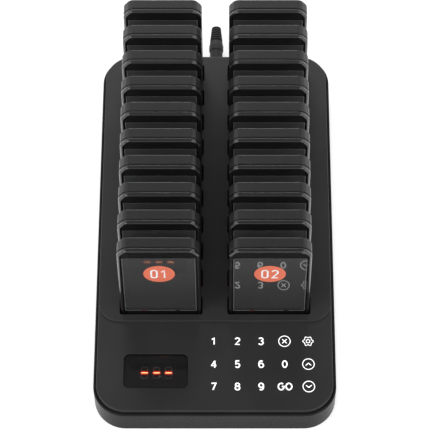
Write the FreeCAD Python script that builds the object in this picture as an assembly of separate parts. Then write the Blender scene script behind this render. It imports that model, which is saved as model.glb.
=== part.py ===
import FreeCAD, Part
import math
import os

from FreeCAD import Placement, Rotation, Vector

os.makedirs("parts", exist_ok=True)

# Guest pager charging base with twenty lift-out pagers, in millimetres.
# Origin: centre of the housing's footprint, on the surface the feet stand on.
# +Z up, -Y towards the keypad, +X to the right of a person at the keypad.

# ---- Pager -----------------------------------------------------------------
pager_width = 56.2
pager_above_deck = 79.5
pager_in_slot = 18.0
pager_thickness = 12.0
pager_top_corner_r = 8.0
pager_lead_in = 3.0  # chamfer at the two bottom corners
front_shell_thickness = 2.9
shell_groove_width = 0.8
shell_groove_depth = 1.4
groove_corner_cut = 4.0
window_side_rim = 2.2
window_top_rim = 2.6
window_foot = 4.5  # solid rim below the window pane
window_depth = 1.9
pane_thickness = 0.9
pane_clearance = 0.1
contact_length = 7.0
contact_width = 4.0
contact_thickness = 0.2  # plated pads, proud of the shell's foot
contact_offset = 9.0  # each side of the pager's centre line

# ---- Slots -----------------------------------------------------------------
slot_rows = 10
row_pitch = 21.45
pager_lean = 4.5  # degrees, tops lean to the rear
slot_side_clearance = 0.85
slot_front_clearance = 1.4
slot_rear_clearance = 0.5
seat_clearance = 0.5  # under a seated pager's shell
well_wall = 1.4
well_to_board = 0.3  # under the lowest corner of a well
contact_window_length = 30.0
contact_window_width = 6.4

# ---- Base housing ----------------------------------------------------------
spine_width = 17.7  # deck between the two columns of slots
side_margin = 17.25
front_panel_depth = 69.6
deck_lead = 5.6  # from the deck's step to the first slots
rear_margin = 10.0
base_corner_r = 22.5
foot_height = 0.8
shell_wall = 3.0
shell_floor = 2.4
shell_foot_chamfer = 0.5
shell_rim_width = 1.5
shell_rim_chamfer = 0.9
rim_to_panel = 3.7  # the shell's rim, below the control panel
seam_depth = 1.5
cover_inset = 2.2  # leaves a shadow gap inside the shell's rim
cover_thickness = 2.0
cover_skirt = 2.0
cover_edge_chamfer = 0.8
deck_rise = 1.2
deck_front_corner_r = 15.0

# ---- Display window, display and keypad board --------------------------------
window_width = 44.5
window_length = 25.8
window_centre_x = -40.7
window_front_edge = 19.2  # from the housing's front
window_corner_r = 4.0
window_set_down = 0.3  # its front edge, below the control panel
window_slope = 3.5  # degrees, its rear edge is the lower
display_pane_thickness = 1.5
window_ledge = 1.5
chimney_wall = 1.5
chimney_gap = 0.3  # over the main board
module_width = 26.4
module_length = 13.0
module_height = 8.0
module_set_down = 0.5  # below the lowest edge of the pane
digits_from_front = 32.4
spacer_inset = 2.0
control_board_left = -12.0

# ---- Boards and what they carry ---------------------------------------------
board_thickness = 1.6
board_height = 1.8  # above the housing's floor
board_to_post = 1.2
rib_width = 3.0
charging_board_ribs = 3
main_board_ribs = 2
charging_board_front_gap = 4.0
charging_board_side = 3.0
main_board_front_gap = 6.0
main_board_right = 16.0
main_to_charging_gap = 6.0
pin_width = 3.0
pin_depth = 2.0
pin_clearance = 0.3
part_inset = 5.0  # parts on a board stand this far inside its edge
part_gap = 2.0  # between the radio and the display's chimney
radio_length = 17.0
radio_width = 12.0
radio_height = 3.2
buzzer_width = 12.0
buzzer_height = 6.5
ribbon_width = 14.0
ribbon_thickness = 0.8
ribbon_bow = 3.0

# ---- Posts and feet -----------------------------------------------------------
post_width = 7.0
post_from_end = 34.0
post_split = 12.0  # above the surface: the lower post ends, the cover's begins
foot_width = 14.0
foot_recess = 0.8
foot_from_side = 23.0
foot_from_end = 25.0

# ---- Power inlet and plug ---------------------------------------------------
jack_width = 9.4
jack_depth = 13.0
jack_height = 11.0
jack_nose_r = 3.8
jack_bore_r = 3.0
jack_bore_depth = 11.0
jack_pin_r = 0.9
jack_pin_tip = 1.0
jack_fit = 0.1
barrel_r = 2.75
barrel_bore_r = 1.3
barrel_length = 9.5
plug_grip_r = 5.35
plug_shoulder_r = 4.6
plug_shoulder_length = 3.0
plug_grip_length = 11.0
plug_face_gap = 0.3
relief_ribs = 6
relief_pitch = 3.2
relief_rib_thickness = 2.0
relief_first_width = 8.6
relief_last_width = 6.6
relief_core_width = 4.6

# ---- Worked-out sizes -------------------------------------------------------
slot_width = pager_width + 2 * slot_side_clearance
slot_depth = slot_front_clearance + pager_thickness + slot_rear_clearance
base_width = 2 * side_margin + 2 * slot_width + spine_width
first_slot = front_panel_depth + deck_lead
base_length = first_slot + (slot_rows - 1) * row_pitch + slot_depth + rear_margin
half_w = base_width / 2
half_l = base_length / 2
column_x = (spine_width + slot_width) / 2

lean = math.radians(pager_lean)
slot_bottom = pager_in_slot + seat_clearance
well_drop = ((slot_bottom + well_wall) * math.cos(lean)
             + (pager_thickness + slot_rear_clearance + well_wall) * math.sin(lean))

floor_top = foot_height + shell_floor
board_bottom = floor_top + board_height
board_top = board_bottom + board_thickness
deck_top = board_top + well_to_board + well_drop
panel_top = deck_top - deck_rise
cover_bottom = panel_top - cover_thickness
shell_top = panel_top - rim_to_panel
seat_top = shell_top - seam_depth
step_y = front_panel_depth - half_l

across = Vector(1, 0, 0)
to_rear = Vector(0, 1, 0)
up = Vector(0, 0, 1)
overrun = 1.0  # how far a cut or a joined piece runs past the face it crosses
same_height = 1e-4


# ---- Shape helpers ----------------------------------------------------------
def rounded_wire(x0, x1, y0, y1, z, front_r, rear_r):
    """Rectangle with rounded corners: one radius at the front, one at the rear."""
    corners = [
        (x0, y0, 180, front_r),
        (x1, y0, 270, front_r),
        (x1, y1, 0, rear_r),
        (x0, y1, 90, rear_r),
    ]
    arcs = []
    for x, y, start, r in corners:
        centre = Vector(x + r if x == x0 else x - r, y + r if y == y0 else y - r, z)
        ring = Part.Circle(centre, up, r)
        arcs.append(Part.ArcOfCircle(ring, math.radians(start), math.radians(start + 90)))
    edges = []
    for i, arc in enumerate(arcs):
        following = arcs[(i + 1) % len(arcs)]
        edges.append(arc.toShape())
        edges.append(Part.makeLine(arc.EndPoint, following.StartPoint))
    return Part.Wire(Part.__sortEdges__(edges))


def rounded_block(x0, x1, y0, y1, z0, z1, front_r, rear_r=None):
    wire = rounded_wire(x0, x1, y0, y1, z0, front_r, front_r if rear_r is None else rear_r)
    return Part.Face(wire).extrude(up * (z1 - z0))


def block(x0, x1, y0, y1, z0, z1):
    return Part.makeBox(x1 - x0, y1 - y0, z1 - z0, Vector(x0, y0, z0))


def housing_block(inset, z0, z1):
    """A slab with the housing's outline, drawn in by inset all round."""
    x, y = half_w - inset, half_l - inset
    return rounded_block(-x, x, -y, y, z0, z1, base_corner_r - inset)


def edges_at(shape, z):
    """Edges of shape that lie wholly at one height."""
    return [edge for edge in shape.Edges
            if abs(edge.BoundBox.ZMin - z) < same_height
            and abs(edge.BoundBox.ZMax - z) < same_height]


def revolve_about_y(profile, x, z):
    """Turn a closed (radius, y) outline about the line along Y through x, z."""
    points = [Vector(x + r, y, z) for r, y in profile]
    face = Part.Face(Part.makePolygon(points + points[:1]))
    return face.revolve(Vector(x, 0, z), to_rear, 360)


def join(shapes):
    return shapes[0].multiFuse(shapes[1:]).removeSplitter()


def moved(shape, placement):
    result = shape.copy()
    result.transformShape(placement.toMatrix(), True)
    return result


def save(name, shape):
    shape.exportStep(f"parts/{name}.step")


# ---- Slot places ------------------------------------------------------------
def slot_places():
    """Pager number and the placement of its slot: face plane, centre line, deck level."""
    places = []
    for row in range(slot_rows):
        y = first_slot + row * row_pitch + slot_front_clearance - half_l
        for side in (-1, 1):
            number = 2 * row + (side + 3) // 2
            places.append((number, Placement(Vector(side * column_x, y, deck_top),
                                             Rotation(across, -pager_lean))))
    return places


# ---- Pager: x across, y from its face to its back, z up from deck level -----
def pager_slab(y0, y1):
    """A slice of the pager: rounded at the top, with a lead-in at each bottom corner."""
    half, r, cut = pager_width / 2, pager_top_corner_r, pager_lead_in
    top, bottom = pager_above_deck, -pager_in_slot
    turn = r * (1 - math.sqrt(0.5))
    corners = [
        Part.Arc(Vector(side * half, y0, top - r),
                 Vector(side * (half - turn), y0, top - turn),
                 Vector(side * (half - r), y0, top))
        for side in (-1, 1)
    ]
    sides = Part.makePolygon([
        Vector(-half, y0, top - r),
        Vector(-half, y0, bottom + cut),
        Vector(cut - half, y0, bottom),
        Vector(half - cut, y0, bottom),
        Vector(half, y0, bottom + cut),
        Vector(half, y0, top - r),
    ])
    crown = Part.makeLine(Vector(half - r, y0, top), Vector(r - half, y0, top))
    edges = [arc.toShape() for arc in corners] + [crown] + sides.Edges
    wire = Part.Wire(Part.__sortEdges__(edges))
    return Part.Face(wire).extrude(to_rear * (y1 - y0))


def pager_front_shell():
    """Front moulding with its window pane, two solids."""
    shell = pager_slab(0, front_shell_thickness)
    side = pager_width / 2 - window_side_rim
    top = pager_above_deck - window_top_rim
    bottom = window_foot - pager_in_slot
    shell = shell.cut(block(-side, side, -overrun, window_depth, bottom, top))
    gap = pane_clearance
    pane = block(gap - side, side - gap, window_depth - pane_thickness, window_depth,
                 bottom + gap, top - gap)
    return Part.makeCompound([shell, pane])


def pager_back_shell():
    """Rear moulding: a neck that carries the front shell, and two charging contacts."""
    seam = front_shell_thickness + shell_groove_width
    shell = pager_slab(seam, pager_thickness)
    half = pager_width / 2 - shell_groove_depth
    neck = block(-half, half, front_shell_thickness, seam,
                 shell_groove_depth - pager_in_slot, pager_above_deck - shell_groove_depth)
    corners = [edge for edge in neck.Edges
               if edge.BoundBox.XLength + edge.BoundBox.ZLength < same_height]
    neck = neck.makeChamfer(groove_corner_cut, corners)
    middle = (seam + pager_thickness) / 2
    contacts = [
        block(x - contact_length / 2, x + contact_length / 2,
              middle - contact_width / 2, middle + contact_width / 2,
              -contact_thickness - pager_in_slot, -pager_in_slot)
        for x in (-contact_offset, contact_offset)
    ]
    return Part.makeCompound([join([shell, neck]), *contacts])


# ---- Housing ----------------------------------------------------------------
def corner_blocks(from_side, from_end, width, z0, z1):
    """Four square blocks, one near each corner of the housing."""
    x, y, half = half_w - from_side, half_l - from_end, width / 2
    return [block(sx * x - half, sx * x + half, sy * y - half, sy * y + half, z0, z1)
            for sy in (-1, 1) for sx in (-1, 1)]


def post_from_side():
    """The posts stand midway between the housing's wall and the slots' wells."""
    return (side_margin - well_wall + shell_wall) / 2


def posts(z0, z1):
    return corner_blocks(post_from_side(), post_from_end, post_width, z0, z1)


def board_side():
    """How far from the centre line a board at the front may reach, inside the posts."""
    return half_w - post_from_side() - post_width / 2 - board_to_post


def feet(z0, z1):
    return corner_blocks(foot_from_side, foot_from_end, foot_width, z0, z1)


def jack_axis_z():
    return board_top + jack_height / 2


def jack_face_y():
    return half_l - shell_wall


def board_ribs(edges, count):
    """Ribs on the housing's floor, evenly spread, that a board rests on."""
    left, right, front, rear = edges
    first, last = front + rib_width, rear - rib_width
    spacing = (last - first) / (count - 1)
    return [block(left, right, first + i * spacing - rib_width / 2,
                  first + i * spacing + rib_width / 2, floor_top - overrun, board_bottom)
            for i in range(count)]


def base_shell():
    shell = housing_block(0, foot_height, shell_top)
    shell = shell.makeChamfer(shell_foot_chamfer, edges_at(shell, foot_height))
    shell = shell.makeChamfer(shell_rim_chamfer, edges_at(shell, shell_top))
    inside = housing_block(shell_wall, floor_top, shell_top)
    seat = housing_block(shell_rim_width, seat_top, shell_top + overrun)
    shell = shell.cut(join([inside, seat]))

    shell = join([shell, *posts(floor_top - overrun, post_split),
                  *board_ribs(charging_board_edges(), charging_board_ribs),
                  *board_ribs(main_board_edges(), main_board_ribs)])

    nose = Part.makeCylinder(jack_nose_r + jack_fit, shell_wall + 2 * overrun,
                             Vector(0, jack_face_y() - overrun, jack_axis_z()), to_rear)
    return shell.cut(Part.makeCompound([*feet(0, foot_height + foot_recess), nose]))


def well_blocks(places):
    """The outside of each slot's well, below the deck."""
    outer = block(-slot_width / 2 - well_wall, slot_width / 2 + well_wall,
                  -slot_front_clearance - well_wall,
                  pager_thickness + slot_rear_clearance + well_wall,
                  -slot_bottom - well_wall, -cover_thickness / 2)
    return [moved(outer, place) for _, place in places]


def slot_cuts(places):
    """The pocket of each slot, and the window in its floor for the charging pins."""
    pocket = block(-slot_width / 2, slot_width / 2, -slot_front_clearance,
                   pager_thickness + slot_rear_clearance, -slot_bottom, deck_rise + overrun)
    middle = contact_middle()
    window = block(-contact_window_length / 2, contact_window_length / 2,
                   middle - contact_window_width / 2, middle + contact_window_width / 2,
                   -slot_bottom - well_wall - overrun, overrun - slot_bottom)
    return [moved(s, place) for _, place in places for s in (pocket, window)]


def contact_middle():
    return (front_shell_thickness + shell_groove_width + pager_thickness) / 2


def window_edges(inset):
    """Left, right, front and rear of the display window, drawn in by inset."""
    x, y = window_width / 2 - inset, window_front_edge - half_l
    return (window_centre_x - x, window_centre_x + x, y + inset,
            y + window_length - inset)


def pane_place():
    """The middle of the pane's front top edge, with the pane's slope."""
    front = Vector(window_centre_x, window_front_edge - half_l, panel_top - window_set_down)
    return Placement(front, Rotation(across, -window_slope))


def pane_blank(inset, z0, z1):
    """A slab with the window's outline, in the pane's own place."""
    x = window_width / 2 - inset
    blank = rounded_block(-x, x, inset, window_length - inset, z0, z1,
                          window_corner_r - inset)
    return moved(blank, pane_place())


def module_top():
    lowest = display_pane_thickness + window_length * math.sin(math.radians(window_slope))
    return panel_top - window_set_down - lowest - module_set_down


def top_cover(places):
    plate = housing_block(cover_inset, seat_top, panel_top)
    plate = plate.makeChamfer(cover_edge_chamfer, edges_at(plate, panel_top))
    plate = plate.cut(housing_block(cover_inset + cover_skirt, seat_top - overrun, cover_bottom))
    x, y = half_w - cover_inset, half_l - cover_inset
    deck = rounded_block(-x, x, step_y, y, cover_bottom, deck_top,
                         deck_front_corner_r, base_corner_r - cover_inset)
    deck = deck.makeChamfer(cover_edge_chamfer, edges_at(deck, deck_top))
    chimney = block(*window_edges(-chimney_wall), board_top + chimney_gap,
                    cover_bottom + overrun)
    cover = join([plate, deck, chimney, *well_blocks(places),
                  *posts(post_split, cover_bottom + overrun)])

    pane_seat = pane_blank(0, -display_pane_thickness, cover_thickness)
    shaft = block(*window_edges(window_ledge), board_bottom, deck_top)
    return cover.cut(Part.makeCompound([pane_seat, shaft, *slot_cuts(places)]))


def rubber_feet():
    return Part.makeCompound(feet(0, foot_height + foot_recess))


# ---- Display and boards -------------------------------------------------------
def display_window():
    return pane_blank(pane_clearance, -display_pane_thickness, 0)


def module_block(inset, z0, z1):
    x, y = module_width / 2 - inset, module_length / 2 - inset
    middle = digits_from_front - half_l
    return block(window_centre_x - x, window_centre_x + x, middle - y, middle + y, z0, z1)


def display_module():
    return module_block(0, module_top() - module_height, module_top())


def display_spacer():
    """Carrier that lifts the display from the main board to just under its window."""
    return module_block(spacer_inset, board_top, module_top() - module_height)


def charging_board_edges():
    x = column_x + slot_width / 2 - charging_board_side
    front = first_slot - charging_board_front_gap - half_l
    return -x, x, front, half_l - shell_wall - charging_board_side


def main_board_edges():
    front = main_board_front_gap + shell_wall - half_l
    rear = charging_board_edges()[2] - main_to_charging_gap
    return -board_side(), main_board_right, front, rear


def plate_board(edges, z):
    left, right, front, rear = edges
    return block(left, right, front, rear, z, z + board_thickness)


def control_board():
    """Touch-key board, held against the underside of the control panel."""
    front = main_board_front_gap + shell_wall - half_l
    edges = (control_board_left, board_side(), front, step_y - deck_lead)
    return plate_board(edges, cover_bottom - board_thickness)


def charging_pins(places):
    """Two sprung pins under each seated pager, standing on the charging board."""
    pins = []
    middle = contact_middle()
    for _, place in places:
        foot = place.multVec(Vector(0, middle, -contact_thickness - pager_in_slot))
        top = foot.z - pin_depth * math.sin(lean) - pin_clearance
        for dx in (-contact_offset, contact_offset):
            x = foot.x + dx
            pins.append(block(x - pin_width / 2, x + pin_width / 2,
                              foot.y - pin_depth / 2, foot.y + pin_depth / 2, board_top, top))
    return Part.makeCompound(pins)


def radio_module():
    x = window_edges(-chimney_wall)[1] + part_gap
    y = main_board_edges()[2] + part_inset
    return block(x, x + radio_width, y, y + radio_length, board_top, board_top + radio_height)


def buzzer():
    _, right, front, _ = main_board_edges()
    x, y = right - part_inset, front + part_inset
    return block(x - buzzer_width, x, y, y + buzzer_width, board_top, board_top + buzzer_height)


def ribbon_cable():
    """Flat cable from the main board up to the control board, in one soft bow."""
    _, right, _, rear = main_board_edges()
    x = right - ribbon_width - part_inset
    y = rear - part_inset
    top = cover_bottom - board_thickness
    low, high = Vector(x, y, board_top), Vector(x, y, top)
    crest = Vector(x, y + ribbon_bow, (board_top + top) / 2)
    path = Part.Arc(low, crest, high)
    back = to_rear * ribbon_thickness
    inner = Part.Arc(low - back, crest - back, high - back)
    edges = [path.toShape(), Part.makeLine(high, inner.EndPoint), inner.toShape(),
             Part.makeLine(inner.StartPoint, low)]
    strip = Part.Face(Part.Wire(Part.__sortEdges__(edges)))
    return strip.extrude(across * ribbon_width)


# ---- Power inlet and plug -----------------------------------------------------
def dc_jack():
    """Board-mounted barrel jack: body, nose through the rear wall, bore and pin."""
    y, z = jack_face_y(), jack_axis_z()
    body = block(-jack_width / 2, jack_width / 2, y - jack_depth, y,
                 board_top, board_top + jack_height)
    nose = Part.makeCylinder(jack_nose_r, shell_wall + overrun,
                             Vector(0, y - overrun, z), to_rear)
    bore = Part.makeCylinder(jack_bore_r, jack_bore_depth + overrun,
                             Vector(0, half_l - jack_bore_depth, z), to_rear)
    pin = Part.makeCylinder(jack_pin_r, jack_bore_depth - jack_pin_tip + overrun,
                            Vector(0, half_l - jack_bore_depth - overrun, z), to_rear)
    return join([join([body, nose]).cut(bore), pin])


def plug_barrel():
    """Metal sleeve of the plug, seated in the jack."""
    y, z = half_l + plug_face_gap, jack_axis_z()
    profile = [(barrel_bore_r, y - barrel_length), (barrel_r, y - barrel_length),
               (barrel_r, y), (barrel_bore_r, y)]
    return revolve_about_y(profile, 0, z)


def eight_sided(width, y0, y1):
    """A bar along the jack's axis with eight equal sides, width across its flats."""
    turn = math.pi / 8
    r = width / 2 / math.cos(turn)
    z = jack_axis_z()
    corners = [Vector(r * math.cos((2 * i + 1) * turn), y0, z + r * math.sin((2 * i + 1) * turn))
               for i in range(8)]
    return Part.Face(Part.makePolygon(corners + corners[:1])).extrude(to_rear * (y1 - y0))


def power_plug():
    """Moulded grip, then a strain relief whose eight-sided ribs narrow to the rear."""
    z = jack_axis_z()
    y = half_l + plug_face_gap
    step = y + plug_shoulder_length
    end = step + plug_grip_length
    grip = revolve_about_y([(0, y), (plug_shoulder_r, y), (plug_shoulder_r, step),
                            (plug_grip_r, step), (plug_grip_r, end), (0, end)], 0, z)
    core = eight_sided(relief_core_width, end - overrun,
                       end + relief_ribs * relief_pitch - overrun)
    narrowing = (relief_first_width - relief_last_width) / (relief_ribs - 1)
    ribs = []
    for i in range(relief_ribs):
        rear = end + (i + 1) * relief_pitch
        ribs.append(eight_sided(relief_first_width - i * narrowing,
                                rear - relief_rib_thickness, rear))
    return join([grip, core, *ribs])


# ---- Build and save -----------------------------------------------------------
def main():
    places = slot_places()
    front, back = pager_front_shell(), pager_back_shell()
    for number, place in places:
        save(f"pager_{number:02d}_front_shell", moved(front, place))
        save(f"pager_{number:02d}_back_shell", moved(back, place))

    save("base_shell", base_shell())
    save("top_cover", top_cover(places))
    save("rubber_feet", rubber_feet())
    save("display_window", display_window())
    save("display_module", display_module())
    save("display_spacer", display_spacer())
    save("control_board", control_board())
    save("main_board", plate_board(main_board_edges(), board_bottom))
    save("charging_board", plate_board(charging_board_edges(), board_bottom))
    save("charging_pins", charging_pins(places))
    save("radio_module", radio_module())
    save("buzzer", buzzer())
    save("ribbon_cable", ribbon_cable())
    save("dc_jack", dc_jack())
    save("plug_barrel", plug_barrel())
    save("power_plug", power_plug())


main()
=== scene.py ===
import math

import bpy
from mathutils import Matrix, Vector
from mathutils.geometry import delaunay_2d_cdt


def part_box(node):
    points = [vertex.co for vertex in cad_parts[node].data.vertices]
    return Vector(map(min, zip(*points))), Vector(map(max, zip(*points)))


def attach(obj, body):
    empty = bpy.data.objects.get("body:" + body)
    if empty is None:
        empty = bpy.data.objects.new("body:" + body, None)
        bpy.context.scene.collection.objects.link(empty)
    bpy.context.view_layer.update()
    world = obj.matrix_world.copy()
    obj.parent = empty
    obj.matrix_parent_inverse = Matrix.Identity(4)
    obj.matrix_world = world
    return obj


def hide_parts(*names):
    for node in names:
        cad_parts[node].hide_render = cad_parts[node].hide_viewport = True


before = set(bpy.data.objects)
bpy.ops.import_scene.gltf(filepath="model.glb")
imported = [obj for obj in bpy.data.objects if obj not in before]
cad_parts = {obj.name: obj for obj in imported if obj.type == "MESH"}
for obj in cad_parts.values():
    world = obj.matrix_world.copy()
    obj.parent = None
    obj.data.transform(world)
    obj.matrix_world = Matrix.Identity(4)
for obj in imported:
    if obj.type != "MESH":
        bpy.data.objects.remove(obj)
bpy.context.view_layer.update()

MM = 0.001

# Sizes are in millimetres in the part's own frame: +Z up, -Y towards the keypad.

# ---- Base ----------------------------------------------------------------
HALF_W, HALF_L = 84.0, 146.075
CORNER_R, CORNER_STEPS = 22.5, 14
FLOOR_Z, SEAT_TOP, SHELL_TOP = 0.8, 21.426, 22.926
PANEL_TOP, DECK_TOP = 26.626, 27.826
SHELL_WALL, RIM_WIDTH, RIM_ROUND = 3.0, 1.5, 0.9
SHELL_FOOT_R, FLOOR_MARGIN = 0.3, 2.0
COVER_INSET, COVER_ROUND, DECK_FRONT_R, STEP_Y = 2.2, 0.8, 15.0, -76.475
FOOT_FROM_SIDE, FOOT_FROM_END = 23.0, 25.0
FOOT_HALF, FOOT_R, FOOT_RECESS, FOOT_GAP = 7.0, 1.2, 0.8, 0.1
SCREW_X, SCREW_FROM_END = 71.2, 48.0
SCREW_HOLE_R, SCREW_HOLE_DEPTH, SCREW_HEAD_R = 3.6, 2.0, 2.9
JACK_Z, JACK_HOLE_R = 12.1, 3.9

# ---- Slots and pagers ----------------------------------------------------
LEAN = math.radians(4.5)
COLUMN_X, FIRST_FACE_Y, ROW_PITCH, ROWS = 37.8, -69.475, 21.45, 10
SLOT_HALF_W, SLOT_FRONT, SLOT_REAR, SLOT_BOTTOM = 28.95, 1.4, 12.5, 18.5
SLOT_R, SLOT_EASE, SLOT_MOUTH, WELL_WALL = 1.2, 0.35, 3.0, 1.4
PIN_WINDOW, PIN_WINDOW_R = (-15.0, 15.0, 4.65, 11.05), 0.8
PAGER_W, PAGER_TOP, PAGER_FOOT, PAGER_T = 56.2, 79.5, 18.0, 12.0

# ---- Display window: left, right, front, rear and corner radius ----------
WINDOW = (-62.95, -18.45, -126.875, -101.075, 4.0)
WINDOW_TILT, WINDOW_SET_DOWN, WINDOW_EASE = math.radians(3.5), 0.3, 0.35
SHAFT_INSET, SHAFT_R, SHAFT_FOOT = 1.5, 2.5, 7.2
PANE_T, PANE_GAP = 1.5, 0.1

# ---- Camera --------------------------------------------------------------
FOCAL_PX, FRAME_PX, PRINCIPAL_X, SENSOR_MM = 2121.8, 430.0, 231.5, 36.0
ELEVATION = math.radians(61.21)
TARGET = Vector((11.57, 23.66, 0.0)) * MM
DISTANCE = 1556.2 * MM

camera_data = bpy.data.cameras.new("camera")
camera_data.sensor_width = SENSOR_MM
camera_data.lens = FOCAL_PX * SENSOR_MM / FRAME_PX
camera_data.shift_x = (FRAME_PX / 2 - PRINCIPAL_X) / FRAME_PX
camera_data.clip_start = 0.05
camera_data.clip_end = 20.0
camera = bpy.data.objects.new("camera", camera_data)
bpy.context.scene.collection.objects.link(camera)
camera.location = TARGET + DISTANCE * Vector((0, -math.cos(ELEVATION), math.sin(ELEVATION)))
camera.rotation_euler = (math.pi / 2 - ELEVATION, 0, 0)
bpy.context.scene.camera = camera
bpy.context.scene.view_settings.view_transform = "Standard"


# ---- Outlines and paths --------------------------------------------------
def turned(v, angle):
    c, s = math.cos(angle), math.sin(angle)
    return Vector((v.x * c - v.y * s, v.x * s + v.y * c))


def right_of(v):
    return Vector((v.y, -v.x))


def rectangle(x0, x1, y0, y1, r_low, r_high=None):
    """Corners (x, y, radius), counter-clockwise from the lower left."""
    r_high = r_low if r_high is None else r_high
    return [(x0, y0, r_low), (x1, y0, r_low), (x1, y1, r_high), (x0, y1, r_high)]


def outline(corners, steps=6):
    """A function of inset that gives the outline's points and outward normals."""
    def at(inset=0.0):
        count = len(corners)
        sides = []
        for i in range(count):
            a, b = Vector(corners[i][:2]), Vector(corners[(i + 1) % count][:2])
            along = (b - a).normalized()
            sides.append((a - right_of(along) * inset, along))
        points = []
        for i in range(count):
            (a, along_a), (b, along_b) = sides[i - 1], sides[i]
            cross = along_a.cross(along_b)
            corner = a + along_a * ((b - a).cross(along_b) / cross)
            turn = math.atan2(cross, along_a.dot(along_b))
            r = max(corners[i][2] - inset, 0.0)
            out = right_of(along_a)
            middle = corner - along_a * r * math.tan(turn / 2) - out * r
            for k in range(steps + 1):
                n = turned(out, turn * k / steps)
                points.append((middle + n * r, n))
        return points
    return at


def circle(x, y, r, steps=32):
    def at(inset=0.0):
        spokes = [turned(Vector((1, 0)), math.tau * k / steps) for k in range(steps)]
        return [(Vector((x, y)) + n * (r - inset), n) for n in spokes]
    return at


def loop(shape, inset=0.0):
    return [p for p, _ in shape(inset)]


def smooth_runs(path, steps):
    """Splits a path of (out, height, radius) into smooth runs of (point, normal)."""
    runs, run = [], []
    points = [Vector(p[:2]) for p in path]
    for i, here in enumerate(points):
        before = (here - points[i - 1]).normalized() if i else None
        after = (points[i + 1] - here).normalized() if i < len(points) - 1 else None
        r = path[i][2] if len(path[i]) > 2 else 0.0
        if before is None or after is None:
            run.append((here, right_of(before or after)))
            continue
        turn = math.atan2(before.cross(after), before.dot(after))
        if r == 0.0:
            run.append((here, right_of(before)))
            runs.append(run)
            run = [(here, right_of(after))]
            continue
        side = 1 if turn > 0 else -1
        start = here - before * r * math.tan(abs(turn) / 2)
        middle = start - right_of(before) * r * side
        for k in range(steps + 1):
            n = turned(right_of(before), turn * k / steps)
            run.append((middle + n * r * side, n))
    runs.append(run)
    return runs


def inside(point, ring):
    hit = False
    for k, b in enumerate(ring):
        a = ring[k - 1]
        if (a.y > point.y) != (b.y > point.y):
            if point.x < a.x + (point.y - a.y) * (b.x - a.x) / (b.y - a.y):
                hit = not hit
    return hit


def filled(loops):
    """Points and cells that fill the first loop and leave the others open."""
    flat = [p for ring in loops for p in ring]
    if len(loops) == 1:
        return flat, [list(range(len(flat)))]
    edges, start = [], 0
    for ring in loops:
        edges += [(start + i, start + (i + 1) % len(ring)) for i in range(len(ring))]
        start += len(ring)
    made = delaunay_2d_cdt(flat, edges, [], 1, 1e-6)
    points = [flat[source[0]] if source else p for p, source in zip(made[0], made[3])]
    cells = []
    for cell in made[2]:
        middle = sum((points[i] for i in cell), Vector((0, 0))) / len(cell)
        if not any(inside(middle, hole) for hole in loops[1:]):
            cells.append(cell)
    return points, cells


# ---- Patchwork of surfaces -----------------------------------------------
FLAT = Matrix.Identity(4)
# These stand a flat drawing up, facing the keypad's end or the plug's end.
FACING_FRONT = Matrix(((1, 0, 0, 0), (0, 0, -1, 0), (0, 1, 0, 0), (0, 0, 0, 1)))
FACING_REAR = Matrix(((1, 0, 0, 0), (0, 0, 1, 0), (0, 1, 0, 0), (0, 0, 0, 1)))
WELDS_PER_MM = 2000


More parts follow.
